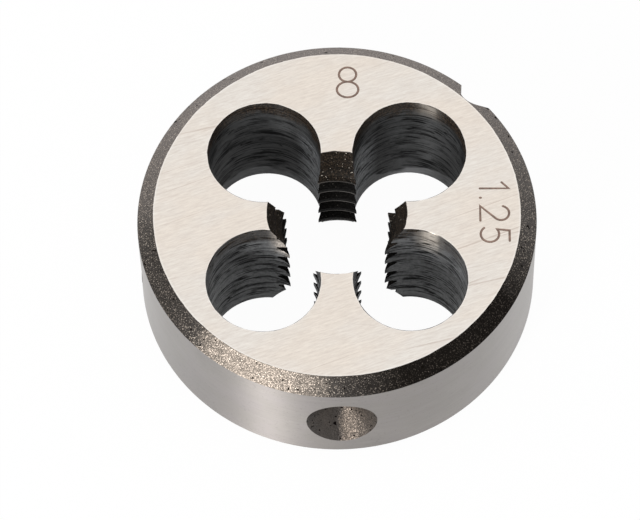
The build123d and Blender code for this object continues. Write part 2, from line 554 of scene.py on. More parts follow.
def land_columns(d, rows, thread, axis):
    """Points of one threaded land, column by column."""
    first, _ = land_tip(d, rows, thread, axis, -1)
    last, _ = land_tip(d, rows, thread, axis, 1)
    share = np.linspace(0, 1, LAND_CELLS + 1)[:, None]
    turn = first + share * (last - first)
    radius = land_radius(d, rows, thread, turn)
    height = row_height(d, rows, turn)
    points = polar(radius, turn, height)
    crest = np.clip(1 - (radius - d.bore_radius) / CREST_ZONE, 0, 1)
    edge = np.abs(share * 2 - 1) ** 6
    wear_share = np.where(points[..., 1] < 0, 1.0, BACK_WEAR_SHARE)
    worn = TIP_WEAR * abs(math.cos(axis)) * crest * edge * wear_share
    burr = BURR_HEIGHT * crest * edge * np.clip(noise(points, 0.35, 8) + 0.2, 0, 1)
    torn = TORN_DEPTH * noise(points, 0.16, 9) + TIP_TORN_DEPTH * edge * noise(points, 0.2, 10)
    return polar(radius + worn - burr + torn, turn, height)


def hole_columns(d, rows, thread, axis):
    """Points of one clearance hole's wall, from the land at axis to the next, without their tips."""
    distance, bearing = hole_centre(d, axis, 1)
    start, start_radius = land_tip(d, rows, thread, axis, 1)
    end, end_radius = land_tip(d, rows, thread, axis + LAND_TURN, -1)

    def round_hole(radius):
        return np.arccos((distance**2 + d.hole_radius**2 - radius**2) / (2 * distance * d.hole_radius))

    near = np.linspace(0, 1, TOOTH_CELLS + 1)[1:, None]
    first, last = round_hole(start_radius), 2 * math.pi - round_hole(end_radius)
    opening = first + near * (TOOTH_SIDE - first)
    closing = (2 * math.pi - TOOTH_SIDE) + near[:-1] * (last - 2 * math.pi + TOOTH_SIDE)
    middle = np.linspace(TOOTH_SIDE, 2 * math.pi - TOOTH_SIDE, HOLE_CELLS + 1)[1:, None]
    swing = np.vstack([opening, middle + np.zeros_like(first), closing])
    share = np.linspace(0, 1, len(swing) + 2)[1:-1, None]
    height = row_height(d, rows, start + share * (end - start))
    from_teeth = np.clip(np.minimum(swing - first, last - swing) * 4, 0, 1)
    along = swing * d.hole_radius

    def drawn_out(stretch, shift, slant):
        """Places for noise that is drawn out round the hole and climbs along it."""
        return np.stack([along / stretch, np.full_like(along, axis * shift), height + slant * along], -1)

    strength = np.clip(0.5 + noise(drawn_out(2, 2, 0), 1.1, 13), 0.1, 1.4)
    feed = FEED_DEPTH * noise(drawn_out(30, 5, 0.05), 0.15, 11) * strength
    feed += WAVE_DEPTH * noise(drawn_out(12, 3, -0.03), 0.42, 12)
    radius = d.hole_radius + feed * from_teeth
    return polar(distance, bearing, 0.0) + polar(radius, bearing + math.pi + swing, height)


def add_bore(surface, d):
    """The wall of the bore and the clearance holes, in rows that climb one pitch in each turn.

    Returns the numbers and places of the points round its openings in the two faces, with a broken
    edge there, the lower face first.
    """
    rows, thread, rows_per_turn = thread_rows(d)
    columns, on_land = [], []
    for land in range(LANDS):
        axis = land * LAND_TURN
        lands = land_columns(d, rows, thread, axis)
        holes = hole_columns(d, rows, thread, axis)
        columns += [lands, holes]
        on_land += [True] * (len(lands) - 1) + [False] * (len(holes) + 1)
    points = np.concatenate(columns)
    numbers = surface.add_points(points)
    low, high = d.rim_break, d.disc_thickness - d.rim_break
    below, above = points[..., 2] <= low + TINY, points[..., 2] >= high - TINY
    everywhere = np.arange(len(points))
    lowest = rows.size - 1 - np.argmax(below[:, ::-1], axis=1)
    highest = np.argmax(above, axis=1)
    foot, head = numbers[everywhere, lowest], numbers[everywhere, highest]
    numbers = np.where(below, foot[:, None], np.where(above, head[:, None], numbers))
    seam = np.minimum(np.arange(rows.size) + rows_per_turn, rows.size - 1)
    numbers = np.vstack([numbers, numbers[0, seam]])
    on_land = np.array(on_land)

    def add_strips(grid, land_finish):
        for start, stop in stretches(on_land):
            finish = land_finish if on_land[start] else "drilled_hole"
            surface.add_grid(grid[:, start : stop + 1], finish)

    add_strips(numbers.T, "cut_thread")
    rings = []
    for ring, places, height in ((foot, lowest, 0.0), (head, highest, d.disc_thickness)):
        edge = break_edge(d, points[everywhere, places], height)
        edge_numbers = surface.add_points(edge)
        pair = [np.append(ring, ring[0]), np.append(edge_numbers, edge_numbers[0])]
        add_strips(np.stack(pair if height else pair[::-1]), "lead_cone")
        rings.append((edge_numbers, edge[:, :2]))
    return rings


def stretches(flags):
    """Start and end of each run of equal flags."""
    changes = np.flatnonzero(flags[1:] != flags[:-1]) + 1
    bounds = [0, *changes.tolist(), len(flags)]
    return list(zip(bounds[:-1], bounds[1:]))


def break_edge(d, places, height):
    """The outline of the bore at a face, set back by the broken edge, with small nicks."""
    outline = places.copy()
    outline[:, 2] = height
    bearing = np.arctan2(outline[:, 1], outline[:, 0])
    nearest = (np.floor(bearing / LAND_TURN) + 0.5) * LAND_TURN
    from_hole = outline - polar(d.hole_distance, nearest, height) - (0, d.hole_offset, 0)
    gap = np.hypot(from_hole[:, 0], from_hole[:, 1])
    in_hole = np.abs(gap - d.hole_radius) < HOLE_MARGIN
    outward = np.where(in_hole[:, None], from_hole, outline * [1, 1, 0])
    outward[:, 2] = 0
    outward /= np.linalg.norm(outward, axis=1, keepdims=True)
    width = d.rim_break * (1 + layered(outline, NICKS))
    return outline + outward * width[:, None]


# ---------------------------------------------------------------- faces and numbers

DIGIT_GAP = 0.26  # between two digits, as a share of their height
MARKS = (  # number, place of its middle in millimetres, height of its digits and turn in degrees
    ("8", (0.7, 9.4), 2.2, 0),
    ("1.25", (9.85, 0.0), 1.8, -90),
)


def arc_points(centre, radius, start, end, steps):
    """Points along an arc, with angles in degrees and the radius given across and up."""
    turn = np.radians(np.linspace(start, end, steps + 1))
    across, up = radius
    return np.stack([centre[0] + across * np.cos(turn), centre[1] + up * np.sin(turn)], -1)


def digit_strokes(digit):
    """Centre lines of a digit one unit high, and its width."""
    if digit == "1":
        return [np.array([(0.06, 0.76), (0.30, 1.0), (0.30, 0.0)])], 0.36
    if digit == "2":
        hook = arc_points((0.30, 0.72), (0.28, 0.28), 165, -42, 14)
        return [np.vstack([hook, [(0.02, 0.0), (0.60, 0.0)]])], 0.60
    if digit == "5":
        bowl = arc_points((0.27, 0.32), (0.31, 0.32), 128, -142, 16)
        return [np.vstack([[(0.54, 1.0), (0.13, 1.0)], bowl])], 0.58
    if digit == "8":
        upper = arc_points((0.31, 0.76), (0.25, 0.24), -90, 270, 20)
        lower = arc_points((0.31, 0.26), (0.31, 0.26), 90, 450, 24)
        return [upper, lower], 0.62
    return [np.array([(0.05, 0.0), (0.05, 0.03)])], 0.10


def number_strokes(text, centre, height, turn):
    """Centre lines of a number on a face, with its middle at centre and turned anticlockwise."""
    lines, pen = [], 0.0
    for digit in text:
        strokes, width = digit_strokes(digit)
        lines += [stroke + (pen, 0) for stroke in strokes]
        pen += width + DIGIT_GAP
    middle = ((pen - DIGIT_GAP) / 2, 0.5)
    cos, sin = math.cos(math.radians(turn)), math.sin(math.radians(turn))
    spin = np.array([[cos, sin], [-sin, cos]])
    return [(line - middle) * height @ spin + centre for line in lines]


def stroke_outline(line, half_width):
    """Closed outline round a centre line, with round ends."""
    if np.hypot(*(line[0] - line[-1])) < TINY:
        closed = line[:-1]
        along = np.roll(closed, -1, axis=0) - np.roll(closed, 1, axis=0)
        normal = np.stack([-along[:, 1], along[:, 0]], -1) / np.hypot(*along.T)[:, None]
        loops = [closed + normal * half_width, closed - normal * half_width]
        return [np.vstack([loop, loop[:1]]) for loop in loops]
    step = np.diff(line, axis=0)
    step /= np.hypot(*step.T)[:, None]
    normal = np.stack([-step[:, 1], step[:, 0]], -1)
    joint = np.vstack([normal[:1], normal[:-1] + normal[1:], normal[-1:]])
    joint /= np.hypot(*joint.T)[:, None]
    stretch = 1 / np.maximum((joint[1:-1] * normal[1:]).sum(axis=1), 0.5)
    joint[1:-1] *= stretch[:, None]
    cap = np.radians(np.arange(-60, 61, 30))

    def end(point, facing):
        base = math.atan2(facing[1], facing[0])
        return point + half_width * np.stack([np.cos(base + cap), np.sin(base + cap)], -1)

    left, right = line + joint * half_width, (line - joint * half_width)[::-1]
    loop = np.vstack([left, end(line[-1], step[-1])[::-1], right, end(line[0], -step[0])[::-1]])
    return [np.vstack([loop, loop[:1]])]


def distance_to(lines, points):
    """Distance from each flat point to the nearest of the lines."""
    nearest = np.full(len(points), np.inf)
    for line in lines:
        start, step = line[:-1], np.diff(line, axis=0)
        share = ((points[:, None] - start) * step).sum(-1) / (step**2).sum(-1)
        foot = start + np.clip(share, 0, 1)[..., None] * step
        nearest = np.minimum(nearest, np.linalg.norm(points[:, None] - foot, axis=-1).min(axis=1))
    return nearest


def add_face(surface, d, rim, ring, top):
    """One flat face between the rim and the bore, with the etched numbers on the upper one."""
    ring_numbers, ring_outline = ring
    known = np.concatenate([rim[:-1], ring_numbers])
    outline = np.concatenate(surface.points)[rim[:-1]][:, :2]
    strokes = [line for mark in MARKS for line in number_strokes(*mark)] if top else []
    outlines = [loop for line in strokes for loop in stroke_outline(line, d.mark_stroke / 2)]
    flat, triangles, sources = fill_flat([outline, ring_outline], lines=[*outlines, *strokes])
    height = np.full(len(flat), d.disc_thickness if top else 0.0)
    if top:
        etched = np.clip(1 - distance_to(strokes, flat) / (d.mark_stroke / 2), 0, 1)
        height -= etched * d.mark_depth
    numbers = surface.add_points(np.column_stack([flat, height]))
    kept = (sources >= 0) & (sources < len(known))
    numbers[kept] = known[sources[kept]]
    corners = numbers[triangles if top else triangles[:, ::-1]]
    if not top:
        surface.add_triangles(corners, "ground_face")
        return
    marked = distance_to(strokes, flat[triangles].mean(axis=1)) < d.mark_stroke / 2
    surface.add_triangles(corners[~marked], "ground_face")
    surface.add_triangles(corners[marked], "etched_mark")


def die_surface(d):
    """The whole die as one closed surface."""
    surface = Surface()
    upper, lower = add_rim(surface, d, True), add_rim(surface, d, False)
    mouth_edges = add_notch(surface, d, upper, lower)
    dimples = [add_dimple(surface, d, direction) for direction in (d.left_dimple, d.front_dimple)]
    add_wall(surface, d, upper[-1], lower[-1], mouth_edges, dimples)
    bottom_ring, top_ring = add_bore(surface, d)
    add_face(surface, d, upper[0], top_ring, True)
    add_face(surface, d, lower[0], bottom_ring, False)
    return surface


# ---------------------------------------------------------------- shader nodes


class Shader:
    """Short calls that add nodes to one tree. Every input is a socket to link or a plain value."""

    def __init__(self, tree):
        self.tree = tree

    def fill(self, sockets, values):
        """Links or sets each of the named sockets. A plain colour has three values."""
        for name, value in values.items():
            socket = sockets[name]
            if isinstance(value, bpy.types.NodeSocket):
                self.tree.links.new(value, socket)
            else:
                socket.default_value = (*value, 1.0) if socket.type == "RGBA" else value

    def node(self, kind, inputs=None, **settings):
        """Adds a node and returns its outputs."""
        made = self.tree.nodes.new("ShaderNode" + kind)
        for name, value in settings.items():
            setattr(made, name, value)
        self.fill(made.inputs, inputs or {})
        return made.outputs

    def math(self, operation, *values):
        return self.node("Math", dict(enumerate(values)), operation=operation)[0]

    def times(self, first, second):
        return self.math("MULTIPLY", first, second)

    def minus(self, first, second):
        return self.math("SUBTRACT", first, second)

    def most(self, first, second):
        return self.math("MAXIMUM", first, second)

    def vector(self, operation, inputs, output="Vector"):
        return self.node("VectorMath", inputs, operation=operation)[output]

    def length(self, across, along):
        return self.math("SQRT", self.math("MULTIPLY_ADD", across, across, self.times(along, along)))

    def spread(self, value, low, high, start=0.0, end=1.0):
        """Value brought from the range low to high into the range start to end."""
        inputs = {"Value": value, "From Min": low, "From Max": high, "To Min": start, "To Max": end}
        return self.node("MapRange", inputs, clamp=True)[0]

    def fade(self, mask, start, end):
        """From start where the mask is 0 to end where it is 1."""
        return self.spread(mask, 0.0, 1.0, start, end)

    def mix(self, mask, first, second):
        """From the first colour where the mask is 0 to the second where it is 1."""
        return self.node("Mix", {0: mask, 6: first, 7: second}, data_type="RGBA", clamp_factor=True)[2]

    def paint(self, base, *coats):
        """A colour with coats laid over it in turn, each given as its mask and its colour."""
        for mask, coat in coats:
            base = self.mix(mask, base, coat)
        return base

    def noise(self, vector, scale, detail=3.0, roughness=0.5):
        inputs = {"Vector": vector, "Scale": scale, "Detail": detail, "Roughness": roughness}
        return self.node("TexNoise", inputs)[0]

    def stretch(self, vector, turn, scale):
        """Vector turned about Z and scaled along its own axes."""
        turned = self.node("Mapping", {"Vector": vector, "Rotation": (0, 0, turn)})[0]
        return self.node("Mapping", {"Vector": turned, "Scale": scale})[0]

    def bump(self, height, strength, distance):
        """A normal roughened by a height, over a distance in millimetres."""
        return self.node("Bump", {"Height": height, "Strength": strength, "Distance": distance * MM})[0]


class DieShader(Shader):
    """The same calls for one of the die's materials, with its sizes, colours and groups at hand."""

    def __init__(self, tree, d, finish, groups):
        super().__init__(tree)
        self.d, self.finish, self.groups = d, finish, groups
        self.place = self.group("place")
        self.point = self.place["Place"]

    def group(self, name, **inputs):
        return self.node("Group", inputs, node_tree=self.groups[name])

    def grain(self, scale):
        return self.group("grain", Vector=self.point, Scale=scale)

    def side(self, degrees, edge, origin="Place"):
        """A mask of the side at an angle from +X, as seen from the thread axis or a hole's axis."""
        turn = math.radians(degrees)
        towards = (math.cos(turn), math.sin(turn), 0.0)
        return self.group("side", Place=self.place[origin], Towards=towards, Edge=edge)["Mask"]

    def across(self):
        """How far right of the thread axis a point lies."""
        return self.node("SeparateXYZ", {0: self.point})[0]

    def upright(self):
        """The direction along the thread axis, across the turning and drilling marks."""
        settings = {"vector_type": "VECTOR", "convert_from": "OBJECT", "convert_to": "WORLD"}
        return self.node("VectorTransform", {"Vector": (0, 0, 1)}, **settings)[0]


def new_group(name, inputs, outputs, vectors=()):
    """A shader node group. Inputs without a default and the outputs in vectors are vectors."""
    tree = bpy.data.node_groups.new(name, "ShaderNodeTree")
    for socket, default in inputs.items():
        kind = "NodeSocketVector" if default is None else "NodeSocketFloat"
        made = tree.interface.new_socket(name=socket, in_out="INPUT", socket_type=kind)
        if default is not None:
            made.default_value = default
    for socket in outputs:
        kind = "NodeSocketVector" if socket in vectors else "NodeSocketFloat"
        tree.interface.new_socket(name=socket, in_out="OUTPUT", socket_type=kind)
    taken = tree.nodes.new("NodeGroupInput").outputs
    given = tree.nodes.new("NodeGroupOutput").inputs
    return tree, Shader(tree), taken, given


def die_place_group(d):
    """Where a point lies on the die, in millimetres.

    Place is the point itself, Rolled is the wall as it lies unrolled and Hole is the way from the
    axis of the nearest clearance hole. Height is measured up from the seat face, Below down from
    the marked face and Depth from the nearer of the two. Rim is the distance from the edge of the
    nearest clearance hole and Crest the height above the nearest crest.
    """
    vectors = ("Place", "Rolled", "Hole")
    outputs = (*vectors, "Radius", "Height", "Below", "Depth", "Rim", "Crest")
    tree, s, _, given = new_group("Die place", {}, outputs, vectors)
    place = s.vector("SCALE", {0: s.node("TexCoord")["Object"], "Scale": 1 / MM})
    x, y, z = s.node("SeparateXYZ", {0: place})
    radius = s.length(x, y)
    below = s.minus(d.disc_thickness, z)
    turn = s.math("ARCTAN2", y, x)
    middle = d.hole_distance * math.sqrt(0.5)
    offset_y = s.minus(y, d.hole_offset)
    across = s.minus(x, s.times(s.math("SIGN", x), middle))
    along = s.minus(offset_y, s.times(s.math("SIGN", offset_y), middle))
    climb = s.times(turn, d.thread_pitch / (2 * math.pi))
    crest = s.minus(s.minus(z, climb), d.crest_height - d.thread_pitch / 2)
    crest = s.minus(s.math("FLOORED_MODULO", crest, d.thread_pitch), d.thread_pitch / 2)
    values = {"Place": place, "Radius": radius, "Height": z, "Below": below, "Crest": crest}
    values["Rolled"] = s.node("CombineXYZ", {0: s.times(turn, d.radius), 1: z, 2: radius})[0]
    values["Hole"] = s.node("CombineXYZ", {0: across, 1: along})[0]
    values["Depth"] = s.math("MINIMUM", z, below)
    values["Rim"] = s.minus(s.length(across, along), d.hole_radius)
    s.fill(given, values)
    return tree


def side_group():
    """A mask of the part of the die that faces a side, fading out to the given cosine."""
    inputs = {"Place": None, "Towards": None, "Edge": 0.8}
    tree, s, taken, given = new_group("Side of the die", inputs, ["Mask"])
    flat = s.vector("MULTIPLY", {0: taken["Place"], 1: (1, 1, 0)})
    facing = s.vector("NORMALIZE", {0: flat})
    cosine = s.vector("DOT_PRODUCT", {0: facing, 1: taken["Towards"]}, "Value")
    ragged = s.math("MULTIPLY_ADD", s.noise(taken["Place"], 1.2, 4.0, 0.6), 0.10, cosine)
    s.fill(given, {"Mask": s.spread(s.minus(ragged, 0.05), taken["Edge"], 1.0)})
    return tree


# Turn, scale along and across, and threshold of each set of scratches
SCRATCH_SETS = ((-0.05, 0.07, 6.0, 0.71), (0.09, 0.05, 4.5, 0.72), (0.42, 0.12, 6.0, 0.79))


def grinding_group():
    """Fine parallel wheel marks along the X axis of the vector, with a few thin scratches."""
    inputs = {"Vector": None, "Fineness": 1.0}
    tree, s, taken, given = new_group("Grinding lines", inputs, ["Lines", "Scratches"])
    vector = s.vector("SCALE", {0: taken["Vector"], "Scale": taken["Fineness"]})
    fine = s.noise(s.stretch(vector, 0, (0.45, 9.0, 1)), 1.0, 2.0, 0.6)
    coarse = s.noise(s.stretch(vector, 0.03, (0.16, 2.6, 1)), 1.0, 4.0, 0.65)
    lines = s.math("MULTIPLY_ADD", fine, 0.5, s.times(coarse, 0.5))
    scratches = 0.0
    for turn, along, across, low in SCRATCH_SETS:
        streak = s.noise(s.stretch(vector, turn, (along, across, 1)), 1.0, 1.0, 0.4)
        scratches = s.most(scratches, s.spread(streak, low, low + 0.05))
    s.fill(given, {"Lines": s.spread(lines, 0.3, 0.7), "Scratches": scratches})
    return tree


def grain_group():
    """Rough furnace grain: a height, a mask of bright crystals and a mask of small black pits."""
    inputs = {"Vector": None, "Scale": 6.0}
    tree, s, taken, given = new_group("Furnace grain", inputs, ["Height", "Crystals", "Pits"])
    vector, scale = taken["Vector"], taken["Scale"]
    cells = s.node("TexVoronoi", {"Vector": vector, "Scale": s.times(scale, 1.6)})[0]
    spots = s.noise(vector, s.times(scale, 1.9), 2.0, 0.7)
    pits = s.noise(vector, s.times(scale, 0.4), 1.0, 0.5)
    values = {"Height": s.math("MULTIPLY_ADD", cells, -0.6, s.noise(vector, scale, 3.0, 0.62))}
    values |= {"Crystals": s.spread(spots, 0.46, 0.66), "Pits": s.spread(pits, 0.70, 0.73)}
    s.fill(given, values)
    return tree


# Scale round and down the hole, width and threshold of each set of drill marks
DRILL_MARK_SETS = ((0.08, 1.6, 0.035, 0.40), (0.13, 3.8, 0.05, 0.43), (0.18, 0.9, 0.025, 0.48))


def drill_marks_group():
    """Thin dark arcs that the drill left down a hole, broken into patches, as a mask."""
    tree, s, taken, given = new_group("Drill marks", {"Place": None}, ["Marks"])
    patches = s.vector("MULTIPLY", {0: taken["Place"], 1: (0.45, 0.45, 1.6)})
    marks = 0.0
    for across, down, width, low in DRILL_MARK_SETS:
        squashed = s.vector("MULTIPLY", {0: taken["Place"], 1: (across, across, down)})
        ridge = s.math("ABSOLUTE", s.minus(s.noise(squashed, 1.0, 2.0, 0.6), 0.5))
        broken = s.spread(s.noise(patches, 1.0 + low, 3.0, 0.6), low, low + 0.10)
        marks = s.most(marks, s.times(s.spread(ridge, width, width * 0.3), broken))
    s.fill(given, {"Marks": marks})
    return tree


# ---------------------------------------------------------------- materials

GRINDING_DIRECTION = math.radians(19)  # of the wheel marks on the faces, from +X

# Colours in linear light that wear, dirt and heat lay over those of the settings, with painted highlights,
# sheen and glints among them
WHEEL_LINE, WHEEL_BAND = (0.58, 0.50, 0.44), (0.56, 0.50, 0.45)
SCRATCH = (0.42, 0.31, 0.25)
EDGE_HIGHLIGHT = (0.95, 0.92, 0.88)
CLOUD = (0.25, 0.22, 0.23)
MILLED_LINE = (0.09, 0.08, 0.07)
PIT, DIMPLE_PIT = (0.004, 0.003, 0.002), (0.004, 0.003, 0.003)
# SHEEN is a painted reflection of the pale floor
SHEEN = (0.55, 0.57, 0.60)
SCORCH, SCORCH_CRYSTAL = (0.006, 0.004, 0.003), (0.075, 0.052, 0.034)
PALE_EXIT = (0.34, 0.34, 0.35)
# Painted glint near the lands: pale polish where the lamp's highlight falls in the holes
PAINTED_TIP_GLINT = (0.60, 0.54, 0.47)
GLINT_POLISH, GLINT_CRYSTAL = (0.40, 0.35, 0.30), (1.0, 0.88, 0.76)
# Painted highlight along the tooth edges
TOOTH_HIGHLIGHT = (0.16, 0.15, 0.14)
LEAD_CRYSTAL = (0.045, 0.032, 0.022)
SPARK = (0.75, 0.68, 0.58)
LEAD_DARK = (0.016, 0.012, 0.009)
DIMPLE_DARK, DIMPLE_SHADE = (0.034, 0.029, 0.026), (0.020, 0.016, 0.013)
DIMPLE_LIT, DIMPLE_CRYSTAL = (0.30, 0.25, 0.21), (0.37, 0.30, 0.245)

# Where each mask begins and where it is full, in millimetres
# EDGE and MOUTH place the painted highlight along the face's edges
EDGE, MOUTH = (-0.14, -0.06), (0.11, 0.04)  # outward from the face's edge and from a hole's edge
# The first pair sets where painted light from below grows in the front holes, the second where the painted
# sheen begins
LIT_FROM_BELOW, SHEEN_TOP = (2.8, 5.2), (2.0, 4.2)  # down from the marked face
SCORCHED, POLISHED = (1.5, 0.9), (0.8, -0.4)  # the same, POLISHED past PATCH_REACH
EXIT, LEAD = (2.6, 2.3), (2.3, 1.7)  # up from the seat face, and in from the nearer face
TIP_GLINT, CREST_INSIDE = (4.8, 4.2), (3.52, 3.40)  # out from the thread axis
SHEEN_SIDE, TOOTH_HIGHLIGHT_WIDTH = (2.6, 1.5), (0.07, 0.03)  # to each side of the thread axis and of a crest's edge
DIMPLE_LIT_SIDE, DIMPLE_DIM_SIDE = (0.42, 0.95), (0.6, 1.9)  # right of the thread axis
DIMPLE_DARK_SIDE = (-1.4, -0.2)
PATCH_REACH = (1.0, 3.0)  # how far down the rubbed patch with its painted glint reaches in the back and front holes
CREST_HIGHLIGHT = 0.15  # how far under a crest's middle its painted highlight lies


def shade(tint, level):
    """A colour made lighter or darker by a level."""
    return [min(1.0, value * level) for value in tint]


# Each function that MATERIALS names takes a DieShader and returns the Principled shader's inputs.


def ground_face(s):
    """Bright steel with cooler patches, wheel lines, scratches and a painted highlight along its edges."""
    along = s.stretch(s.point, -GRINDING_DIRECTION, (1, 1, 1))
    marks = s.group("grinding", Vector=along, Fineness=1.0)
    patches = s.noise(s.stretch(along, 0, (0.5, 1, 1)), 0.30, 3.0, 0.6)
    fine = s.noise(s.stretch(along, 0, (0.9, 7.0, 1)), 1.0, 3.0, 0.85)
    # Painted highlight: a pale line along the face's outer edge and round the holes
    outer = s.spread(s.place["Radius"], *(s.d.face_radius + place for place in EDGE))
    edges = s.most(outer, s.spread(s.place["Rim"], *MOUTH))
    tint = s.paint(
        s.mix(s.spread(patches, 0.40, 0.62), s.finish.ground, s.finish.ground_cool),
        (s.spread(fine, 0.34, 0.66, 0.0, 0.50), WHEEL_LINE),
        (s.spread(marks["Lines"], 0.15, 0.85, 0.0, 0.07), WHEEL_BAND),
        (s.times(marks["Scratches"], 0.34), SCRATCH),
        (s.times(edges, 0.35), EDGE_HIGHLIGHT),
    )
    return {
        "Base Color": tint,
        "Metallic": 0.9,
        "Roughness": s.fade(marks["Lines"], 0.36, 0.46),
        "Normal": s.bump(fine, 0.15, 0.01),
    }


def oxide_bevel(s):
    """Grainy oxide with painted light: a grey reflection at the back, black shade at the front right and
    left, and a highlight on thin oxide at the front left.
    """
    grain = s.grain(6.5)
    # Painted highlight where the front left lamp's highlight falls, on oxide that is thinner there
    worn = s.side(245, 0.905)
    # Painted shade, near black, at the front right and the left, and a painted reflection at the back
    black = s.spread(s.side(309, 0.68), 0.0, 0.8)
    dark = s.most(black, s.fade(s.side(205, 0.88), 0.0, 0.6))
    back = s.spread(s.side(95, -0.15), 0.1, 0.95)
    # Crystals that glint most in the painted highlight
    bare_and_glinting = s.spread(s.math("ADD", grain["Crystals"], s.spread(worn, 0.1, 1.0, 0.15, 0.62)), 0.75, 1.3)
    tint = s.paint(
        s.mix(back, shade(s.finish.oxide, 1.15), s.finish.oxide_grey_sheen),
        (dark, shade(s.finish.oxide, 0.2)),
        (s.spread(worn, 0.2, 1.0, 0.0, 0.85), shade(s.finish.oxide_worn_and_lit, 0.85)),
        (s.times(bare_and_glinting, s.spread(dark, 0.2, 1.0, 1.0, 0.15)), shade(s.finish.oxide_worn_and_lit, 2.1)),
        (grain["Pits"], PIT),
    )
    return {
        "Base Color": tint,
        "Metallic": s.fade(worn, 0.1, 0.65),
        "Specular IOR Level": s.fade(s.most(dark, grain["Pits"]), 0.45, 0.02),
        "Roughness": s.fade(grain["Crystals"], 0.55, 0.36),
        "Normal": s.bump(grain["Height"], 0.8, 0.07),
    }


def ground_wall(s):
    """Satin steel with marks that run round the wall, clouds and small dark specks."""
    marks = s.group("grinding", Vector=s.place["Rolled"], Fineness=1.2)
    patches = s.spread(s.noise(s.point, 0.25, 3.0, 0.6), 0.4, 0.6)
    clouds = s.spread(s.noise(s.point, 0.5, 2.0), 0.45, 0.65)
    tint = s.paint(
        s.mix(patches, shade(s.finish.wall, 0.96), shade(s.finish.wall, 1.08)),
        (s.times(clouds, 0.3), CLOUD),
        (s.spread(marks["Lines"], 0.1, 0.9, 0.0, 0.22), shade(s.finish.wall, 0.5)),
        (s.spread(s.noise(s.point, 6.0, 1.0), 0.66, 0.72, 0.0, 0.35), shade(s.finish.wall, 0.4)),
    )
    return {
        "Base Color": tint,
        "Metallic": 1.0,
        "Roughness": s.fade(marks["Lines"], 0.52, 0.60),
        "Anisotropic": 0.93,
        "Tangent": s.upright(),
        "Normal": s.bump(marks["Lines"], 0.10, 0.01),
        "Coat Weight": 1.0,
        "Coat Roughness": 0.3,
    }


def milled_notch(s):
    """Darker steel with coarser marks."""
    marks = s.group("grinding", Vector=s.place["Rolled"], Fineness=1.5)
    return {
        "Base Color": s.mix(marks["Lines"], s.finish.notch, MILLED_LINE),
        "Metallic": 0.7,
        "Roughness": 0.45,
        "Normal": s.bump(marks["Lines"], 0.2, 0.02),
    }


def polish_and_glint_patch(s, front, marks):
    """A mask of a painted glint in a hole, on a patch that chips have rubbed brighter, and one of its part
    near a land.
    """
    past = s.minus(s.place["Below"], s.fade(front, *PATCH_REACH))
    near = s.spread(s.place["Radius"], *TIP_GLINT)
    shiny = s.spread(s.side(315, -0.7), 0.15, 0.5)
    # Placed where the front left lamp's glint falls in each hole
    patch = s.math("POWER", s.side(69, 0.93, "Hole"), 2.0)
    for mask in (s.spread(past, *POLISHED), s.most(near, shiny), s.fade(marks, 0.7, 0.05)):
        patch = s.times(patch, mask)
    return patch, near


def drilled_hole(s):
    """A blackened wall with drill marks, scorched at the top, with painted light: paler front holes, a sheen
    near the Y axis and a glint by the lands.
    """
    marks = s.group("drilling", Place=s.point)["Marks"]
    grain = s.grain(5.0)
    front = s.spread(s.side(270, 0.0), 0.0, 0.5)
    below = s.place["Below"]
    blotches = s.spread(s.noise(s.point, 0.4, 3.0), 0.35, 0.65, -0.07, 0.07)
    # Painted light: the front holes' walls paler, most of all lower down, where light comes up from the
    # floor
    tone = s.math("MULTIPLY_ADD", front, s.spread(below, *LIT_FROM_BELOW, 0.47, 0.95), blotches)
    # Painted sheen: the pale floor's reflection painted on the walls near the Y axis
    beside = s.spread(s.math("ABSOLUTE", s.across()), *SHEEN_SIDE)
    ragged = s.math("MULTIPLY_ADD", s.noise(s.point, 1.1, 4.0, 0.65), 2.2, below)
    scorched = s.spread(s.minus(ragged, 1.1), *SCORCHED)
    scorch = s.mix(grain["Crystals"], SCORCH, SCORCH_CRYSTAL)
    leaving = s.math("MULTIPLY_ADD", s.noise(s.point, 0.4, 2.0), 3.0, s.place["Height"])
    polish_and_glint, near = polish_and_glint_patch(s, front, marks)
    # Painted glint: a pale beige patch on the teeth nearest the bore
    glint_polish = s.mix(near, PAINTED_TIP_GLINT, s.mix(grain["Crystals"], GLINT_POLISH, GLINT_CRYSTAL))
    tint = s.paint(
        s.mix(tone, shade(s.finish.drilled, 0.85), shade(s.finish.drilled, 9.0)),
        (s.times(s.times(beside, s.spread(below, *SHEEN_TOP)), 0.85), SHEEN),
        (s.spread(s.noise(s.point, 4.0, 3.0, 0.7), 0.4, 0.65, 0.0, 0.6), shade(s.finish.drilled, 0.4)),
        (marks, shade(s.finish.drilled, 0.1)),
        (s.times(scorched, s.fade(front, 0.9, 0.4)), scorch),
        (s.times(s.spread(leaving, *EXIT), s.fade(front, 0.75, 0.15)), PALE_EXIT),
        (polish_and_glint, glint_polish),
    )
    dull = s.most(marks, s.times(scorched, 0.35))
    return {
        "Base Color": tint,
        "Metallic": polish_and_glint,
        "Specular IOR Level": s.fade(dull, s.fade(front, 0.3, 0.8), 0.03),
        "Roughness": s.fade(grain["Crystals"], 0.43, 0.37),
        "Anisotropic": 0.92,
        "Tangent": s.upright(),
        "Normal": s.bump(marks, -0.5, 0.04),
    }


